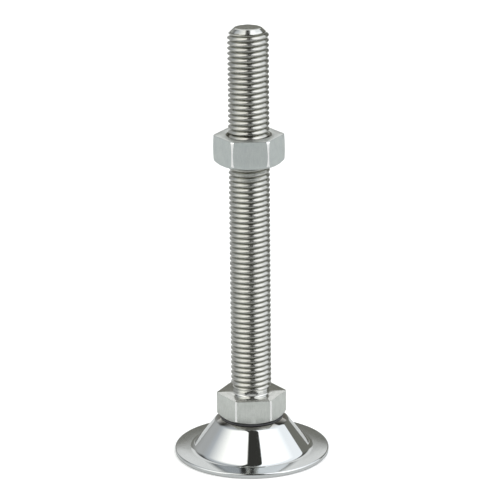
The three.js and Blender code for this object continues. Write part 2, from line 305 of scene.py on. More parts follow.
def finish_piece(name, bm, materials, body, node):
    """Closes the mesh, turns its faces outwards, brings it to metres and hangs it on its CAD body."""
    bmesh.ops.remove_doubles(bm, verts=bm.verts, dist=MERGE)
    bmesh.ops.dissolve_degenerate(bm, edges=bm.edges, dist=MERGE / 10)
    bmesh.ops.recalc_face_normals(bm, faces=bm.faces)
    bmesh.ops.scale(bm, verts=bm.verts, vec=(MM, MM, MM))
    for face in bm.faces:
        face.smooth = True
    mesh = bpy.data.meshes.new(name)
    bm.to_mesh(mesh)
    bm.free()
    piece = bpy.data.objects.new(name, mesh)
    bpy.context.scene.collection.objects.link(piece)
    for material in materials:
        mesh.materials.append(material)
    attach(piece, body)
    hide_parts(node)
    return piece


# Thread


def thread_outline(crest_radius):
    """One pitch of the thread from root to root: straight flanks with a round crest and a round root."""
    rounding = (tan(FLANK_ANGLE) * THREAD_PITCH / 2 - THREAD_DEPTH) / 2
    root = crest_radius - THREAD_DEPTH
    low = arc((root + rounding, -THREAD_PITCH / 2), rounding, pi, pi - FLANK_ANGLE, 2)
    crest = arc((crest_radius - rounding, 0), rounding, -FLANK_ANGLE, FLANK_ANGLE, 4)
    high = [(radius, -height) for radius, height in reversed(low)]
    hold = 0.12  # short strips at a flank's ends keep it looking straight

    def flank(start, end):
        start, end = Vector(start), Vector(end)
        return [tuple(start.lerp(end, hold)), tuple(end.lerp(start, hold))]

    return low + flank(low[-1], crest[0]) + crest + flank(crest[-1], high[0]) + high


def thread(bm, crest_radius, bottom, top):
    """A threaded tube with a crest at CREST_HEIGHT over +X, cut level at both ends. Gives both rims."""
    turns_below = int((bottom - CREST_HEIGHT) // THREAD_PITCH) - 1
    turns = int((top - bottom) // THREAD_PITCH) + 4
    start = CREST_HEIGHT + turns_below * THREAD_PITCH
    outline = [(radius, height + start) for radius, height in thread_outline(crest_radius)]
    before = set(bm.verts)
    rise = Vector((0, 0, THREAD_PITCH / THREAD_STEPS))
    bmesh.ops.spin(
        bm,
        geom=wire(bm, outline, closed=False),
        cent=(0, 0, 0),
        axis=(0, 0, 1),
        dvec=rise,
        angle=2 * pi,
        steps=THREAD_STEPS,
    )
    one_turn = tube_geometry(bm, before)
    for count in range(1, turns):
        copy = bmesh.ops.duplicate(bm, geom=one_turn)
        lift = (0, 0, THREAD_PITCH * count)
        bmesh.ops.translate(bm, verts=new_parts(copy, bmesh.types.BMVert), vec=lift)
    tube_verts = [vert for vert in bm.verts if vert not in before]
    bmesh.ops.remove_doubles(bm, verts=tube_verts, dist=MERGE)
    for height, facing in ((bottom, -1), (top, 1)):
        bmesh.ops.bisect_plane(
            bm,
            geom=tube_geometry(bm, before),
            plane_co=(0, 0, height),
            plane_no=(0, 0, facing),
            clear_outer=True,
            dist=MERGE / 10,
        )
    rims = [edge for edge in tube_geometry(bm, before) if isinstance(edge, bmesh.types.BMEdge)]
    rims = [edge for edge in rims if edge.is_boundary]
    middle = (bottom + top) / 2
    low_rim = [edge for edge in rims if edge.verts[0].co.z < middle]
    high_rim = [edge for edge in rims if edge.verts[0].co.z > middle]
    return low_rim, high_rim


def tube_geometry(bm, before):
    """All that was added to a mesh since its vertices were noted."""
    verts = [vert for vert in bm.verts if vert not in before]
    edges = {edge for vert in verts for edge in vert.link_edges}
    faces = {face for vert in verts for face in vert.link_faces}
    return verts + list(edges) + list(faces)


def trim(verts, limit, inwards=True):
    """Brings vertices that stand past a turned surface back to it. limit gives its radius at a height."""
    for vert in verts:
        radius = hypot(vert.co.x, vert.co.y)
        wanted = limit(vert.co.z)
        if (radius > wanted) if inwards else (radius < wanted):
            vert.co.x *= wanted / radius
            vert.co.y *= wanted / radius


# Pieces


def base_dome(outside, inside):
    """The pressed dish. Both sides of the sheet share the centre of each bend, as in the CAD."""
    foot_radius = BASE_RADIUS - FLANGE_WIDTH
    fillet = (foot_radius, SHEET + FLANGE_FILLET)
    run = foot_radius - crown_edge_radius
    drop = fillet[1] - CROWN_EDGE_HEIGHT
    outward = atan2(drop, run) - asin(FLANGE_FILLET / hypot(run, drop)) + pi / 2
    bend = SHOULDER_BEND + SHEET
    cone_distance = fillet[0] * cos(outward) + fillet[1] * sin(outward) - FLANGE_FILLET
    from_pivot = CROWN_RADIUS - bend
    from_cone = cone_distance - bend - pivot_height * sin(outward)
    swing = outward + acos(from_cone / from_pivot)
    shoulder = (from_pivot * cos(swing), pivot_height + from_pivot * sin(swing))
    crown_angle = atan2(shoulder[1] - pivot_height, shoulder[0])
    hole = tilting_bore(CROWN_RADIUS)
    inner_crown = CROWN_RADIUS - SHEET
    rim = BASE_RADIUS - RIM_ROUNDING
    upper_hole = (hole, sphere_height(CROWN_RADIUS, hole))
    lower_hole = (hole, sphere_height(inner_crown, hole))
    upper_crown = arc((0, pivot_height), CROWN_RADIUS, acos((hole + 1) / CROWN_RADIUS), crown_angle, 14)
    lower_crown = arc((0, pivot_height), inner_crown, crown_angle, acos((hole + 1) / inner_crown), 14)
    fall = outward + pi
    outline = [
        *eased(lower_hole, upper_hole, upper_crown[0], HOLE_EASE),
        *upper_crown,
        *arc(shoulder, bend, crown_angle, outward, 12)[1:],
        *held(shoulder, bend, fillet, -FLANGE_FILLET, outward),
        *arc(fillet, FLANGE_FILLET, fall, 1.5 * pi, 16),
        *arc((rim, SHEET - RIM_ROUNDING), RIM_ROUNDING, pi / 2, 0, 6),
        *arc((rim, RIM_ROUNDING), RIM_ROUNDING, 0, -pi / 2, 6),
        *arc(fillet, FLANGE_FILLET + SHEET, 1.5 * pi, fall, 16),
        *held(fillet, -FLANGE_FILLET - SHEET, shoulder, SHOULDER_BEND, outward),
        *arc(shoulder, SHOULDER_BEND, outward, crown_angle, 3),
        *lower_crown[1:],
        *eased(lower_crown[-1], lower_hole, upper_hole, HOLE_EASE),
    ]
    bm = bmesh.new()
    turn(bm, outline)
    mark_sharp(bm)
    bmesh.ops.recalc_face_normals(bm, faces=bm.faces)
    for face in bm.faces:
        middle = face.calc_center_median()
        past_rim = hypot(middle.x, middle.y) > rim
        face.material_index = 0 if face.normal.z > 0 or past_rim else 1
    return finish_piece("dished_base", bm, (outside, inside), "base", "base_dome")


def held(from_centre, from_radius, to_centre, to_radius, facing):
    """Two points just inside the ends of the straight wall between two bends that face the same way."""
    way = Vector((cos(facing), sin(facing)))
    start = Vector(from_centre) + way * from_radius
    end = Vector(to_centre) + way * to_radius
    return [tuple(start.lerp(end, share)) for share in (0.03, 0.97)]


def hexagon_block(bm):
    """The spindle's hexagon with its hollow seat and the journal under it. Gives the rim of its top face."""
    steps = 6 * (FLAT_STEPS + CORNER_STEPS)
    half = HEX_FLATS / 2
    ease = 0.16

    def row(height, pull=0.0):
        return hexagon_row(HEX_FLATS, HEX_CORNERS, HEX_TURN, height, pull)

    def chamfered(rise):
        return lambda distance: hex_low_edge + max(distance - half, 0) * tan(CHAMFER) + rise

    top = first_ring(bm, steps, row(hex_top, ease))
    ring = next_ring(bm, top, row(hex_top - 0.3 * ease, 0.3 * ease))
    rows = [
        row(hex_top - ease),
        row(hex_top - HEX_HEIGHT / 2),
        row(chamfered(ease)),
        row(chamfered(0.3 * ease), 0.3 * ease),
        row(chamfered(0), ease),
        circle_row(half - 2 * ease, hex_low_edge, steps, HEX_TURN),
        circle_row(half - 3 * ease, sphere_height(seat_radius, half - 3 * ease), steps, HEX_TURN),
    ]
    rows += [circle_row(r, sphere_height(seat_radius, r), steps, HEX_TURN) for r in (10.2, 8.7, 7.2, 5.8)]
    rows += journal_rows(steps)
    for place in rows:
        ring = next_ring(bm, ring, place)
    return [edge for edge in top if edge.is_valid]


def journal_rows(steps):
    """The plain end of the spindle, from the seat down over the retaining ring's groove to its end."""
    root = sphere_height(seat_radius, journal_radius + 0.4)
    groove_top = height_range("retaining_ring")[1] + RING_GROOVE_GAP
    ease = 0.08
    outline = [
        (journal_radius + 0.1, root - 0.08),
        (journal_radius, root - 0.4),
        (journal_radius, groove_top + ease),
        (journal_radius - ease, groove_top),
        (groove_radius + ease, groove_top),
        (groove_radius, groove_top - ease),
        (groove_radius, groove_bottom + ease),
        (groove_radius + ease, groove_bottom),
        (journal_radius - ease, groove_bottom),
        (journal_radius, groove_bottom - ease),
        (journal_radius, journal_end + JOURNAL_END_CHAMFER),
        (journal_radius - JOURNAL_END_CHAMFER, journal_end),
        (journal_radius / 2, journal_end),
        (0, journal_end),
    ]
    return [circle_row(radius, height, steps, HEX_TURN) for radius, height in outline]


def threaded_spindle(rolled, drawn, faced, polished_corner_highlight):
    bm = bmesh.new()
    top_rim = hexagon_block(bm)
    mark_sharp(bm)
    before = set(bm.verts)
    low_rim, high_rim = thread(bm, thread_radius, thread_foot, tip_height)
    start_slope = (thread_radius - neck_radius) / THREAD_START_CHAMFER
    tip_slope = TIP_CHAMFER_DEPTH / TIP_CHAMFER_LENGTH
    ease = 0.25

    def envelope(height):
        starting = neck_radius + (height - thread_foot) * start_slope
        ending = tip_radius + ease + (tip_height - height) * tip_slope
        return min(starting, ending, thread_radius)

    def core(height):
        return neck_radius if height < thread_foot + THREAD_DEPTH / 2 else root_radius

    thread_verts = [vert for vert in bm.verts if vert not in before]
    trim(thread_verts, core, inwards=False)
    trim(thread_verts, envelope)
    for radius, height in (
        (neck_radius, thread_foot - NECK_LENGTH / 3),
        (neck_radius, hex_top + NECK_FILLET),
        (neck_radius + 0.3 * NECK_FILLET, hex_top + 0.3 * NECK_FILLET),
        (neck_radius + NECK_FILLET, hex_top),
    ):
        low_rim = stretch_to(bm, low_rim, radius, height)
    bmesh.ops.bridge_loops(bm, edges=low_rim + top_rim)
    for vert in {vert for edge in high_rim for vert in edge.verts}:
        vert.co.z = tip_height - ease / 2
    for radius, height in (
        (tip_radius, tip_height - ease / 8),
        (tip_radius - ease / 2, tip_height),
        (tip_radius / 2, tip_height),
        (0, tip_height),
    ):
        high_rim = stretch_to(bm, high_rim, radius, height)
    for face in bm.faces:
        middle = face.calc_center_median()
        face.material_index = spindle_finish(hypot(middle.x, middle.y), middle.z)
        # Corner faces take the polished corner steel, whose near-white colour is a painted highlight
        if face.material_index == 1 and on_corner(face, HEX_TURN):
            face.material_index = 3
    mark_sharp(bm, SHARP_AT_TIP, tip_height - ease)
    pieces = (rolled, drawn, faced, polished_corner_highlight)
    return finish_piece("spindle", bm, pieces, "spindle", "threaded_spindle")


def on_corner(face, turned):
    """Whether a side face of a hexagon lies on one of its trimmed corners."""
    facing = (atan2(face.normal.y, face.normal.x) - turned + pi / 2) % (pi / 3)
    upright = abs(face.normal.z) < sin(CHAMFER) / 2
    return upright and abs(facing - pi / 6) < pi / 12


def spindle_finish(distance, height):
    """Which finish the spindle has at a place: 0 rolled, 1 drawn, 2 turned."""
    if height > tip_height - TIP_CHAMFER_LENGTH / 2:
        return 2
    if hex_low_edge < height < hex_top - 0.01 and distance > HEX_FLATS / 2 - 0.2:
        return 1
    return 0 if height > thread_foot else 2


def lock_nut(drawn, faced, tapped, polished_corner_highlight):
    steps = 6 * (FLAT_STEPS + CORNER_STEPS)
    half = NUT_FLATS / 2
    height = nut_top - nut_bottom
    ease = 0.18
    floor_radius = half - NUT_CHAMFER_RISE / tan(CHAMFER)
    floor_ease = 0.2

    def barrel(share):
        """Across the corners at a share of the height: cold forming fills them best in the middle."""
        return NUT_CORNERS - NUT_CORNER_FALL * abs(2 * share - 1) ** 1.8

    def row(share, pull=0.0, drop=0.0):
        level = nut_bottom + share * height - drop
        return hexagon_row(NUT_FLATS, barrel(share), NUT_TURN, level, pull)

    def low_row(rise, pull):
        def level(distance):
            return nut_bottom + NUT_CHAMFER_RISE + max(distance - half, 0) * tan(CHAMFER) + rise

        return hexagon_row(NUT_FLATS, barrel(0.0), NUT_TURN, level, pull)

    bm = bmesh.new()
    top_rim = first_ring(bm, steps, row(1, ease))
    rows = [row(1, 0.3 * ease, 0.3 * ease), row(1, 0, ease)]
    rows += [row(share / 10) for share in range(9, 1, -1)]
    rows += [low_row(ease, 0), low_row(0.3 * ease, 0.3 * ease), low_row(0, ease)]
    rows.append(circle_row(floor_radius, nut_bottom + floor_ease / 5, steps, NUT_TURN))
    rows.append(circle_row(floor_radius - floor_ease, nut_bottom, steps, NUT_TURN))
    bottom_rim = top_rim
    for place in rows:
        bottom_rim = next_ring(bm, bottom_rim, place)
    mark_sharp(bm)
    before = set(bm.verts)
    low_rim, high_rim = thread(bm, bore_radius, nut_bottom + ease / 3, nut_top - ease / 3)
    mouth = thread_radius + COUNTERSINK_BITE

    def bore(level):
        return mouth - min(level - nut_bottom, nut_top - level)

    trim([vert for vert in bm.verts if vert not in before], bore, inwards=False)
    bridge_to(bm, stretch_to(bm, low_rim, mouth + ease / 3, nut_bottom), bottom_rim)
    bridge_to(bm, stretch_to(bm, high_rim, mouth + ease / 3, nut_top), top_rim)
    for face in bm.faces:
        middle = face.calc_center_median()
        distance = hypot(middle.x, middle.y)
        on_end = middle.z > nut_top - 0.01 or middle.z < nut_bottom + 0.01
        face.material_index = 2 if distance < mouth else 1 if on_end else 0
        # Corner faces take the polished corner steel, whose near-white colour is a painted highlight
        if face.material_index == 0 and on_corner(face, NUT_TURN):
            face.material_index = 3
    pieces = (drawn, faced, tapped, polished_corner_highlight)
    return finish_piece("hexagon_lock_nut", bm, pieces, "nut", "lock_nut")


def bridge_to(bm, ring, rim):
    bmesh.ops.bridge_loops(bm, edges=ring + [edge for edge in rim if edge.is_valid])


def seat_liner(material):
    outer, inner = liner_outer_radius, liner_inner_radius
    bore = tilting_bore(outer)
    edge = bore + LINER_WIDTH
    ease = 0.12
    top, bottom = sphere_arc(outer, bore + 0.3, edge - 0.3, 14), sphere_arc(inner, edge - 0.3, bore + 0.3, 14)
    corners = [
        (bore, sphere_height(outer, bore)),
        (edge, sphere_height(outer, edge)),
        (edge, sphere_height(inner, edge)),
        (bore, sphere_height(inner, bore)),
    ]
    outline = [
        *eased(corners[3], corners[0], top[0], ease),
        *top,
        *eased(top[-1], corners[1], corners[2], ease),
        *eased(corners[1], corners[2], bottom[0], ease),
        *bottom,
        *eased(bottom[-1], corners[3], corners[0], ease),
    ]
    bm = bmesh.new()
    turn(bm, outline)
    mark_sharp(bm)
    return finish_piece("crown_seat_liner", bm, (material,), "liner", "seat_liner")


def spherical_washer(material):
    bottom = height_range("spherical_washer")[0]
    ball = CROWN_RADIUS - SHEET - LAYER_GAP
    edge = washer_bore + SPHERICAL_WASHER_WIDTH
    ease = 0.25
    top = sphere_arc(ball, edge - 0.6, washer_bore + 0.6, 14)
    corners = [
        (washer_bore, bottom),
        (edge, bottom),
        (edge, sphere_height(ball, edge)),
        (washer_bore, sphere_height(ball, washer_bore)),
    ]
    outline = [
        *eased(corners[3], corners[0], corners[1], ease),
        *eased(corners[0], corners[1], corners[2], ease),
        *eased(corners[1], corners[2], top[0], ease),
        *top,
        *eased(top[-1], corners[3], corners[0], ease),
    ]
    bm = bmesh.new()
    turn(bm, outline, SMALL_STEPS)
    mark_sharp(bm)
    return finish_piece(
        "ball_seat_washer", bm, (material,), "washers", "spherical_washer"
    )


def flat_washer(material):
    bottom, top = height_range("flat_washer")
    edge = washer_bore + FLAT_WASHER_WIDTH
    bm = bmesh.new()
    corners = [(washer_bore, bottom), (edge, bottom), (edge, top), (washer_bore, top)]
    turn(bm, all_eased(corners, 0.2), SMALL_STEPS)
    mark_sharp(bm)
    return finish_piece("thrust_washer", bm, (material,), "washers", "flat_washer")


def wave_spring(material):
    """A flat ring bent up and down in even waves."""
    low, high = height_range("wave_spring")
    middle, half = (low + high) / 2, SPRING_THICKNESS / 2
    inner = journal_radius + SPRING_CLEARANCE
    outer = inner + SPRING_WIDTH
    corners = [(inner, middle - half), (outer, middle - half), (outer, middle + half), (inner, middle + half)]
    bm = bmesh.new()
    turn(bm, all_eased(corners, 0.12), ROUND_STEPS)
    for vert in bm.verts:
        vert.co.z += SPRING_WAVE * cos(SPRING_WAVES * atan2(vert.co.y, vert.co.x))
    mark_sharp(bm)
    return finish_piece("wave_spring_ring", bm, (material,), "washers", "wave_spring")


def retaining_ring(material):
    """An open ring with two lugs for pliers: its outline is filled round the holes, raised and eased."""
    bottom, top = height_range("retaining_ring")
    inner = groove_radius + RING_GROOVE_GAP
    outer = inner + RING_WIDTH
    lug_distance = inner + RING_LUG_RADIUS
    cosine = (lug_distance**2 + outer**2 - RING_LUG_RADIUS**2) / (2 * lug_distance * outer)
    inset = RING_LUG_RADIUS / lug_distance / 2
    start = -pi / 2 + RING_OPENING / 2 + inset
    end = start + 2 * pi - RING_OPENING - 2 * inset
    meeting = acos(cosine)

    def lug_angle(angle, swing):
        """Direction from a lug's centre to where its edge meets the ring's outer edge."""
        x = outer * cos(angle + swing) - lug_distance * cos(angle)
        y = outer * sin(angle + swing) - lug_distance * sin(angle)
        return atan2(y, x)

    def lug_centre(angle):
        return (lug_distance * cos(angle), lug_distance * sin(angle))

    first_turn = lug_angle(start, meeting)
    last_turn = lug_angle(end, -meeting)
    outline = [
        *arc((0, 0), outer, start + meeting, end - meeting, 90)[1:-1],
        *arc(lug_centre(end), RING_LUG_RADIUS, *forward(last_turn, end - pi), 20),
        *arc((0, 0), inner, end, start, 90)[1:-1],
        *arc(lug_centre(start), RING_LUG_RADIUS, *forward(start - pi, first_turn), 20),
    ]
    bm = bmesh.new()
    verts = [bm.verts.new((x, y, bottom)) for x, y in outline]
    edges = [bm.edges.new(pair) for pair in zip(verts, verts[1:] + verts[:1])]
    for angle in (start, end):
        at = Matrix.Translation((*lug_centre(angle), bottom))
        hole = bmesh.ops.create_circle(bm, segments=32, radius=RING_LUG_HOLE, matrix=at)["verts"]
        edges += {edge for vert in hole for edge in vert.link_edges}
    plate = bmesh.ops.triangle_fill(bm, edges=edges, use_beauty=True)
    plate_faces = new_parts(plate, bmesh.types.BMFace)
    raised = bmesh.ops.extrude_face_region(bm, geom=plate_faces)
    bmesh.ops.translate(bm, verts=new_parts(raised, bmesh.types.BMVert), vec=(0, 0, top - bottom))
    bmesh.ops.recalc_face_normals(bm, faces=bm.faces)
    corners = [edge for edge in bm.edges if edge.is_manifold and edge.calc_face_angle() > pi / 3]
    bmesh.ops.bevel(
        bm,
        geom=corners,
        offset=0.07,
        segments=2,
        affect="EDGES",
        profile=0.5,
        material=-1,
        clamp_overlap=True,
    )
    mark_sharp(bm, radians(40.0))
    return finish_piece("snap_ring", bm, (material,), "spindle", "retaining_ring")


def forward(start, end):
    """The two ends of a turn, with the second past the first."""
    return start, start + (end - start) % (2 * pi)


# Finishes


def add(tree, kind, inputs=None, **settings):
    """A node with its settings and the values of its inputs. An input given an output is linked to it."""
    made = tree.nodes.new(kind)
    for key, value in settings.items():
        setattr(made, key, value)
    for key, value in (inputs or {}).items():
        if isinstance(value, bpy.types.NodeSocket):
            tree.links.new(value, made.inputs[key])
        else:
            made.inputs[key].default_value = value
    return made


def maths(tree, operation, *values):
    return add(tree, "ShaderNodeMath", dict(enumerate(values)), operation=operation).outputs[0]


def spread(tree, value, low, high, to_low=0.0, to_high=1.0, smooth=False):
    """A value's range low to high, brought to another range."""
    inputs = {"Value": value, "From Min": low, "From Max": high, "To Min": to_low, "To Max": to_high}
    kind = "SMOOTHSTEP" if smooth else "LINEAR"
    return add(tree, "ShaderNodeMapRange", inputs, interpolation_type=kind).outputs["Result"]


def mixed(tree, share, first, second):
    inputs = {"Factor": share, 6: first, 7: second}
    return add(tree, "ShaderNodeMix", inputs, data_type="RGBA").outputs[2]


def effect(name, inputs, outputs):
    """An empty node group with its named inputs and outputs."""
    tree = bpy.data.node_groups.new(name, "ShaderNodeTree")
    for label, kind, value in inputs:
        socket = tree.interface.new_socket(label, in_out="INPUT", socket_type=kind)
        if value is not None:
            socket.default_value = value
    for label in outputs:
        tree.interface.new_socket(label, in_out="OUTPUT", socket_type="NodeSocketFloat")
    return tree, tree.nodes.new("NodeGroupInput"), tree.nodes.new("NodeGroupOutput")


def fine_grain():
    """The even speckle of a cold-formed or tumbled surface, with broader cloudy patches in it."""
    tree, given, result = effect(
        "fine_grain",
        [
            ("Vector", "NodeSocketVector", None),
            ("Grain", "NodeSocketFloat", 3000.0),
            ("Cloud", "NodeSocketFloat", 250.0),
        ],
        ["Speckle", "Patches"],
    )
    place = given.outputs["Vector"]
    small = add(tree, "ShaderNodeTexNoise", {"Vector": place, "Scale": given.outputs["Grain"], "Detail": 3.0})
    large = add(tree, "ShaderNodeTexNoise", {"Vector": place, "Scale": given.outputs["Cloud"], "Detail": 4.0})
    tree.links.new(small.outputs["Fac"], result.inputs["Speckle"])
    tree.links.new(large.outputs["Fac"], result.inputs["Patches"])
    return tree


def tool_lines():
    """Fine lines left by a die or a roller. They run across the direction in which Stretch is large."""
    tree, given, result = effect(
        "tool_lines",
        [("Vector", "NodeSocketVector", None), ("Stretch", "NodeSocketVector", (1.0, 1.0, 1.0))],
        ["Lines", "Scores"],
    )
    both = {0: given.outputs["Vector"], 1: given.outputs["Stretch"]}
    place = add(tree, "ShaderNodeVectorMath", both, operation="MULTIPLY").outputs[0]
    lines = add(tree, "ShaderNodeTexNoise", {"Vector": place, "Scale": 1.0, "Detail": 3.0, "Roughness": 0.6})
    few = add(tree, "ShaderNodeTexNoise", {"Vector": place, "Scale": 0.31, "Detail": 1.0})
    scores = spread(tree, few.outputs["Fac"], 0.64, 0.72)
    tree.links.new(lines.outputs["Fac"], result.inputs["Lines"])
    tree.links.new(scores, result.inputs["Scores"])
    return tree


def turned_rings():
    """The rings of a lathe tool on a face square to the axis."""
    tree, given, result = effect(
        "turned_rings",
        [("Vector", "NodeSocketVector", None), ("Rings", "NodeSocketFloat", 4000.0)],
        ["Rings", "Glints"],
    )
    parts = add(tree, "ShaderNodeSeparateXYZ", {0: given.outputs["Vector"]})
    flat = add(tree, "ShaderNodeCombineXYZ", {"X": parts.outputs["X"], "Y": parts.outputs["Y"]})
    distance = add(tree, "ShaderNodeVectorMath", {0: flat.outputs[0]}, operation="LENGTH").outputs["Value"]
    across = maths(tree, "MULTIPLY", distance, given.outputs["Rings"])
    fine = add(tree, "ShaderNodeTexNoise", {"W": across, "Scale": 1.0, "Detail": 3.0}, noise_dimensions="1D")
    coarse = {"W": across, "Scale": 0.23, "Detail": 1.0}
    broad = add(tree, "ShaderNodeTexNoise", coarse, noise_dimensions="1D")
    tree.links.new(fine.outputs["Fac"], result.inputs["Rings"])
    tree.links.new(broad.outputs["Fac"], result.inputs["Glints"])
    return tree


def worn_marks():
    """Sparse fine scratches and the faint smears of handling."""
    tree, given, result = effect(
        "worn_marks",
        [("Vector", "NodeSocketVector", None), ("Marks", "NodeSocketFloat", 400.0)],
        ["Scratches", "Smears"],
    )
    place = given.outputs["Vector"]
    bent = add(tree, "ShaderNodeTexNoise", {"Vector": place, "Scale": 60.0, "Detail": 1.0})
    bend = {0: bent.outputs["Color"], 1: (0.004,) * 3, 2: place}
    shifted = add(tree, "ShaderNodeVectorMath", bend, operation="MULTIPLY_ADD")
    drawn_out = add(tree, "ShaderNodeMapping", {"Vector": shifted.outputs[0], "Scale": (1.0, 0.05, 0.35)})
    drawn_out.inputs["Rotation"].default_value = (0.5, 0.9, 0.4)
    cells = add(
        tree,
        "ShaderNodeTexVoronoi",
        {"Vector": drawn_out.outputs[0], "Scale": given.outputs["Marks"]},
        feature="DISTANCE_TO_EDGE",
    )
    lines = spread(tree, cells.outputs["Distance"], 0.0, 0.035, 1.0, 0.0)
    gate = add(tree, "ShaderNodeTexNoise", {"Vector": place, "Scale": 140.0, "Detail": 2.0})
    here = spread(tree, gate.outputs["Fac"], 0.56, 0.66)
    scratches = maths(tree, "MULTIPLY", lines, here)
    cloudy = {"Vector": place, "Scale": 75.0, "Detail": 3.0, "Distortion": 0.6}
    smear = add(tree, "ShaderNodeTexNoise", cloudy)
    tree.links.new(scratches, result.inputs["Scratches"])
    tree.links.new(spread(tree, smear.outputs["Fac"], 0.4, 0.7), result.inputs["Smears"])
    return tree


def rolled_round():
    """A surface normal turned part of the way outwards from the axis, as rolling rounds a thread's flanks."""
    tree, given, result = effect(
        "rolled_round",
        [
            ("Vector", "NodeSocketVector", None),
            ("Normal", "NodeSocketVector", None),
            ("Roundness", "NodeSocketFloat", 0.3),
        ],
        ["Radius"],
    )
    tree.interface.new_socket("Rounded", in_out="OUTPUT", socket_type="NodeSocketVector")
    parts = add(tree, "ShaderNodeSeparateXYZ", {0: given.outputs["Vector"]})
    flat = add(tree, "ShaderNodeCombineXYZ", {"X": parts.outputs["X"], "Y": parts.outputs["Y"]}).outputs[0]
    distance = add(tree, "ShaderNodeVectorMath", {0: flat}, operation="LENGTH").outputs["Value"]
    outward = add(tree, "ShaderNodeVectorMath", {0: flat}, operation="NORMALIZE").outputs[0]
    share = {0: outward, "Scale": given.outputs["Roundness"]}
    added = add(tree, "ShaderNodeVectorMath", share, operation="SCALE")
    leaning = add(tree, "ShaderNodeVectorMath", {0: given.outputs["Normal"], 1: added.outputs[0]})
    turned = add(
        tree,
        "ShaderNodeVectorTransform",
        {"Vector": leaning.outputs[0]},
        vector_type="NORMAL",
        convert_from="OBJECT",
        convert_to="WORLD",
    )
    rounded = add(tree, "ShaderNodeVectorMath", {0: turned.outputs[0]}, operation="NORMALIZE").outputs[0]
    tree.links.new(distance, result.inputs["Radius"])
    tree.links.new(rounded, result.inputs["Rounded"])
    return tree


GRAIN = fine_grain()
LINES = tool_lines()
RINGS = turned_rings()
MARKS = worn_marks()
ROUND = rolled_round()


def finish(name, metallic):
    """A new material with its shader, and Object coordinates to lay its patterns by."""
    material = bpy.data.materials.new(name)
    material.use_nodes = True
    tree = material.node_tree
    tree.nodes.clear()
    shader = add(tree, "ShaderNodeBsdfPrincipled", {"Metallic": metallic})
    output = tree.nodes.new("ShaderNodeOutputMaterial")
    tree.links.new(shader.outputs[0], output.inputs["Surface"])
    place = tree.nodes.new("ShaderNodeTexCoord").outputs["Object"]
    return material, tree, shader, place


def use(tree, group, **inputs):
    """An effect placed in a material with its own values."""
    made = tree.nodes.new("ShaderNodeGroup")
    made.node_tree = group
    for key, value in inputs.items():
        if isinstance(value, bpy.types.NodeSocket):
            tree.links.new(value, made.inputs[key])
        else:
            made.inputs[key].default_value = value
    return made.outputs


def relief(tree, shader, *layers, normal=None):
    """Bump layers one over another, each a height and how deep it is in metres."""
    for height, depth in layers:
        inputs = {"Height": height, "Distance": depth, "Strength": 1.0}
        if normal is not None:
            inputs["Normal"] = normal
        normal = add(tree, "ShaderNodeBump", inputs).outputs[0]
    tree.links.new(normal, shader.inputs["Normal"])


def rolled_thread_steel(name, dark, light, outer, roundness):
    """Bright flanks between crests and roots that are darkened with painted shade. outer is the thread's
    largest radius.
    """
    material, tree, shader, place = finish(name, 1.0)
    surface = tree.nodes.new("ShaderNodeTexCoord").outputs["Normal"]
    shape = use(tree, ROUND, Vector=place, Normal=surface, Roundness=roundness)
    lines = use(tree, LINES, Vector=place, Stretch=(200.0, 200.0, 5200.0))
    grain = use(tree, GRAIN, Vector=place, Grain=2600.0, Cloud=420.0)
    marks = use(tree, MARKS, Vector=place, Marks=380.0)
    tone = spread(tree, maths(tree, "ADD", grain["Patches"], lines["Lines"]), 0.75, 1.25)
    steel = mixed(tree, tone, dark, light)
    inner = outer - THREAD_DEPTH
    root_ends = (inner + ROOT_SHADE_FULL) * MM, (inner + ROOT_SHADE_END) * MM
    crest_ends = (outer - CREST_SHADE_START) * MM, (outer - CREST_SHADE_FULL) * MM
    # Painted shade: the roots and crests are darkened towards dark olive
    root_shade = spread(tree, shape["Radius"], *root_ends, 1.0, 0.0)
    crest_shade = spread(tree, shape["Radius"], *crest_ends, 0.0, CREST_SHADE_STRENGTH)
    painted_thread_shade = maths(tree, "MAXIMUM", root_shade, crest_shade)
    tree.links.new(mixed(tree, painted_thread_shade, steel, (0.17, 0.17, 0.14, 1)), shader.inputs["Base Color"])
    rough = spread(tree, maths(tree, "ADD", lines["Lines"], grain["Speckle"]), 0.7, 1.3, 0.19, 0.26)
    rough = maths(tree, "ADD", rough, maths(tree, "MULTIPLY", marks["Smears"], 0.04))
    tree.links.new(rough, shader.inputs["Roughness"])
    relief(tree, shader, (lines["Lines"], 6e-7), (grain["Speckle"], 1.2e-6), normal=shape["Rounded"])
    return material


def drawn_flat_steel(name, dark, light, rough_low, rough_high):
    material, tree, shader, place = finish(name, 1.0)
    grain = use(tree, GRAIN, Vector=place, Grain=2900.0, Cloud=330.0)
    lines = use(tree, LINES, Vector=place, Stretch=(2400.0, 2400.0, 420.0))
    marks = use(tree, MARKS, Vector=place, Marks=420.0)
    sum_of_both = maths(tree, "ADD", grain["Patches"], grain["Speckle"])
    tone = spread(tree, maths(tree, "ADD", sum_of_both, lines["Lines"]), 1.2, 1.8)
    tree.links.new(mixed(tree, tone, dark, light), shader.inputs["Base Color"])
    cloud = maths(tree, "ADD", grain["Speckle"], grain["Patches"])
    rough = spread(tree, cloud, 0.75, 1.25, rough_low, rough_high)
    rough = maths(tree, "SUBTRACT", rough, maths(tree, "MULTIPLY", marks["Scratches"], 0.08))
    tree.links.new(rough, shader.inputs["Roughness"])
    relief(tree, shader, (grain["Speckle"], 1.6e-5), (lines["Lines"], 5e-6), (marks["Scratches"], -5e-6))
    return material


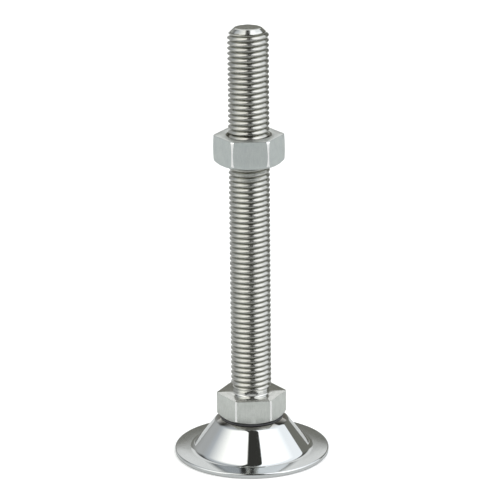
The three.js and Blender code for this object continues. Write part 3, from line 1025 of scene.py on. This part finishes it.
def turned_steel(name, dark, light, rough_low, rough_high):
    material, tree, shader, place = finish(name, 1.0)
    rings = use(tree, RINGS, Vector=place, Rings=4200.0)
    grain = use(tree, GRAIN, Vector=place, Grain=2600.0, Cloud=300.0)
    tone = spread(tree, maths(tree, "ADD", rings["Glints"], grain["Patches"]), 0.8, 1.2)
    tree.links.new(mixed(tree, tone, dark, light), shader.inputs["Base Color"])
    cut = maths(tree, "ADD", rings["Rings"], grain["Speckle"])
    rough = spread(tree, cut, 0.7, 1.3, rough_low, rough_high)
    tree.links.new(rough, shader.inputs["Roughness"])
    relief(tree, shader, (rings["Rings"], 9e-6), (grain["Speckle"], 4e-6))
    return material


def polished_dish():
    material, tree, shader, place = finish("mirror_polished_steel", 1.0)
    marks = use(tree, MARKS, Vector=place, Marks=300.0)
    grain = use(tree, GRAIN, Vector=place, Grain=1800.0, Cloud=90.0)
    tone = mixed(tree, grain["Patches"], (0.60, 0.62, 0.625, 1), (0.66, 0.67, 0.67, 1))
    distance = use(tree, ROUND, Vector=place)["Radius"]
    # Painted shade: next to the hexagon the crown darkens to brown, standing in for its shadow and dark
    # reflection
    shade_start = (crown_edge_radius - CROWN_SHADE_WIDTH) * MM
    shade_end = (crown_edge_radius + CROWN_SHADE_END) * MM
    painted_seat_shade = spread(tree, distance, shade_start, shade_end, CROWN_SHADE, 0.0)
    tree.links.new(mixed(tree, painted_seat_shade, tone, (0.24, 0.20, 0.155, 1)), shader.inputs["Base Color"])
    haze_start = (BASE_RADIUS - FLANGE_WIDTH - FLANGE_HAZE_START) * MM
    haze_full = (BASE_RADIUS - FLANGE_WIDTH + FLANGE_HAZE_FULL) * MM
    flange_haze = spread(tree, distance, haze_start, haze_full, 0.0, FLANGE_HAZE)
    rough = maths(tree, "ADD", flange_haze, spread(tree, marks["Smears"], 0.0, 1.0, 0.035, 0.065))
    rough = maths(tree, "ADD", rough, maths(tree, "MULTIPLY", marks["Scratches"], 0.05))
    tree.links.new(rough, shader.inputs["Roughness"])
    relief(tree, shader, (grain["Patches"], 1.5e-5), (marks["Scratches"], -1e-6))
    return material


def pressed_inside():
    material, tree, shader, place = finish("pressed_inside_steel", 1.0)
    rings = use(tree, RINGS, Vector=place, Rings=900.0)
    grain = use(tree, GRAIN, Vector=place, Grain=2200.0, Cloud=200.0)
    tone = spread(tree, maths(tree, "ADD", rings["Glints"], grain["Patches"]), 0.8, 1.25)
    steel = mixed(tree, tone, (0.44, 0.45, 0.45, 1), (0.56, 0.57, 0.57, 1))
    tree.links.new(steel, shader.inputs["Base Color"])
    rough = spread(tree, grain["Patches"], 0.3, 0.7, 0.28, 0.42)
    tree.links.new(rough, shader.inputs["Roughness"])
    relief(tree, shader, (grain["Speckle"], 8e-6), (rings["Glints"], 6e-6))
    return material


def phosphated_steel():
    material, tree, shader, place = finish("phosphated_ring_steel", 0.55)
    grain = use(tree, GRAIN, Vector=place, Grain=5200.0, Cloud=700.0)
    tone = spread(tree, maths(tree, "ADD", grain["Patches"], grain["Speckle"]), 0.75, 1.25)
    coat = mixed(tree, tone, (0.075, 0.072, 0.068, 1), (0.15, 0.142, 0.132, 1))
    tree.links.new(coat, shader.inputs["Base Color"])
    tree.links.new(spread(tree, grain["Speckle"], 0.3, 0.7, 0.42, 0.6), shader.inputs["Roughness"])
    relief(tree, shader, (grain["Speckle"], 1.2e-5))
    return material


def moulded_liner():
    material, tree, shader, place = finish("moulded_liner_plastic", 0.0)
    grain = use(tree, GRAIN, Vector=place, Grain=4200.0, Cloud=260.0)
    plastic = mixed(tree, grain["Patches"], (0.035, 0.036, 0.04, 1), (0.06, 0.061, 0.066, 1))
    tree.links.new(plastic, shader.inputs["Base Color"])
    tree.links.new(spread(tree, grain["Speckle"], 0.3, 0.7, 0.45, 0.58), shader.inputs["Roughness"])
    relief(tree, shader, (grain["Speckle"], 1e-5))
    return material


# The pieces in their finishes

rolled = rolled_thread_steel(
    "rolled_thread_steel", (0.44, 0.44, 0.415, 1), (0.54, 0.54, 0.515, 1), thread_radius, 0.7
)
nut_bore = rolled_thread_steel(
    "tapped_thread_steel", (0.34, 0.33, 0.29, 1), (0.48, 0.47, 0.43, 1), bore_radius, 0.0
)
hexagon_flats = drawn_flat_steel(
    "hexagon_flat_steel", (0.58, 0.60, 0.57, 1), (0.70, 0.72, 0.69, 1), 0.34, 0.44
)
nut_flats = drawn_flat_steel("nut_flat_steel", (0.50, 0.535, 0.53, 1), (0.59, 0.625, 0.61, 1), 0.36, 0.46)
# Polished corners with a painted highlight: the trimmed hexagon corners get a near-white colour and lower
# roughness
corners = turned_steel("polished_corner_painted_highlight_steel", (0.93, 0.93, 0.925, 1), (0.98, 0.98, 0.975, 1), 0.2, 0.3)
faced = turned_steel("faced_end_steel", (0.60, 0.605, 0.585, 1), (0.71, 0.715, 0.695, 1), 0.12, 0.2)
nut_face = turned_steel("faced_nut_steel", (0.76, 0.78, 0.77, 1), (0.87, 0.89, 0.875, 1), 0.34, 0.44)
washer_face = turned_steel("turned_washer_steel", (0.50, 0.50, 0.49, 1), (0.64, 0.64, 0.62, 1), 0.26, 0.38)
spring_strip = drawn_flat_steel(
    "spring_strip_steel", (0.36, 0.34, 0.31, 1), (0.47, 0.45, 0.42, 1), 0.24, 0.34
)

base_dome(polished_dish(), pressed_inside())
threaded_spindle(rolled, hexagon_flats, faced, corners)
lock_nut(nut_flats, nut_face, nut_bore, corners)
seat_liner(moulded_liner())
spherical_washer(washer_face)
wave_spring(spring_strip)
flat_washer(washer_face)
retaining_ring(phosphated_steel())


# Studio


def studio_floor():
    bm = bmesh.new()
    bmesh.ops.create_grid(bm, x_segments=1, y_segments=1, size=6.0)
    bmesh.ops.translate(bm, verts=bm.verts, vec=(0, 0, -0.05 * MM))
    mesh = bpy.data.meshes.new("studio_floor")
    bm.to_mesh(mesh)
    bm.free()
    floor = bpy.data.objects.new("studio_floor", mesh)
    bpy.context.scene.collection.objects.link(floor)
    material = bpy.data.materials.new("pale_floor")
    material.use_nodes = True
    tree = material.node_tree
    tree.nodes.clear()
    paper = add(tree, "ShaderNodeBsdfDiffuse", {"Color": (0.80, 0.805, 0.80, 1)})
    seen = add(tree, "ShaderNodeLightPath").outputs["Is Camera Ray"]
    lift = add(tree, "ShaderNodeEmission", {"Strength": maths(tree, "MULTIPLY", seen, 0.42)})
    both = add(tree, "ShaderNodeAddShader", {0: paper.outputs[0], 1: lift.outputs[0]})
    output = tree.nodes.new("ShaderNodeOutputMaterial")
    tree.links.new(both.outputs[0], output.inputs["Surface"])
    mesh.materials.append(material)


def softbox(tree, direction, edges, above=(0.0, 0.0, 0.0)):
    """A bank of light between straight edges: each is the plane that bounds it, and how soft it is.

    The planes meet at the middle of the sky's sphere, or at a point above it."""
    shifted = add(tree, "ShaderNodeVectorMath", {0: direction, 1: above}, operation="SUBTRACT").outputs[0]
    mask = None
    for plane, softness in edges:
        beyond = add(tree, "ShaderNodeVectorMath", {0: shifted, 1: plane}, operation="DOT_PRODUCT")
        side = spread(tree, beyond.outputs["Value"], -softness / 2, softness / 2, smooth=True)
        mask = side if mask is None else maths(tree, "MULTIPLY", mask, side)
    return mask


def studio_light():
    """Two large banks of light, left and right, with a dark gap over the camera, in a dim room.

    Each tone falls off towards the back of its bank."""
    world = bpy.data.worlds.new("studio")
    world.use_nodes = True
    tree = world.node_tree
    tree.nodes.clear()
    direction = tree.nodes.new("ShaderNodeTexCoord").outputs["Generated"]
    parts = add(tree, "ShaderNodeSeparateXYZ", {0: direction})
    left_right, front_back, height = (parts.outputs[axis] for axis in "XYZ")
    right = softbox(
        tree,
        direction,
        [
            ((1.0, 0.312, -0.118), 0.03),
            ((0.39, -1.0, 0.58), 0.04),
            ((0.5, 0.5, 0.218), 0.1),
            ((0.0, 0.0, 1.0), 0.2),
        ],
    )
    left = softbox(
        tree,
        direction,
        [
            ((-1.0, 0.0, -0.17), 0.05),
            ((-0.131, -1.0, 0.652), 0.35),
            ((-0.5, 0.5, 0.354), 0.1),
            ((0.0, 0.0, 1.0), 0.2),
        ],
    )
    behind = softbox(
        tree,
        direction,
        [((0.0, 0.0, 1.0), 0.006), ((0.0, 0.6, -0.8), 0.3), ((-1.0, 0.5, 0.0), 0.2), ((1.0, 0.5, 0.0), 0.2)],
        (0.0, 0.0, 0.373),
    )
    back_tone = mixed(
        tree, spread(tree, left_right, -0.7, -0.1), (0.55, 0.56, 0.56, 1), (0.225, 0.225, 0.2, 1)
    )
    low = mixed(tree, spread(tree, front_back, -0.3, 0.3), (0.12, 0.12, 0.12, 1), back_tone)
    room = mixed(tree, spread(tree, height, 0.35, 0.65, smooth=True), low, (0.05, 0.05, 0.045, 1))
    room = mixed(tree, behind, room, (0.95, 0.96, 0.95, 1))
    left_tone = mixed(
        tree, spread(tree, front_back, -0.3, 0.25), (1.72, 1.71, 1.64, 1), (0.62, 0.65, 0.68, 1)
    )
    lit = mixed(tree, left, room, left_tone)
    right_tone = mixed(
        tree, spread(tree, front_back, -0.25, 0.15), (1.95, 1.97, 2.0, 1), (1.28, 1.32, 1.36, 1)
    )
    lit = mixed(tree, right, lit, right_tone)
    background = add(tree, "ShaderNodeBackground", {"Color": lit, "Strength": 1.0})
    output = tree.nodes.new("ShaderNodeOutputWorld")
    tree.links.new(background.outputs[0], output.inputs["Surface"])
    bpy.context.scene.world = world


def studio_camera():
    """The camera looks a little down along +Y from a distance, with its picture level turned a little."""
    aim = Vector((0, 0, 81.83 * MM))
    distance, elevation, lean = 967.7 * MM, radians(17.366), radians(-0.558)
    data = bpy.data.cameras.new("camera")
    data.lens = 182.64
    data.sensor_width = 36.0
    data.clip_start, data.clip_end = 0.05, 20.0
    camera = bpy.data.objects.new("camera", data)
    bpy.context.scene.collection.objects.link(camera)
    place = aim + distance * Vector((0, -cos(elevation), sin(elevation)))
    tilt = Matrix.Rotation(pi / 2 - elevation, 4, "X")
    camera.matrix_world = Matrix.Translation(place) @ tilt @ Matrix.Rotation(lean, 4, "Z")
    bpy.context.scene.camera = camera


studio_floor()
studio_light()
studio_camera()
view = bpy.context.scene.view_settings
view.view_transform = "Standard"
view.look = "None"
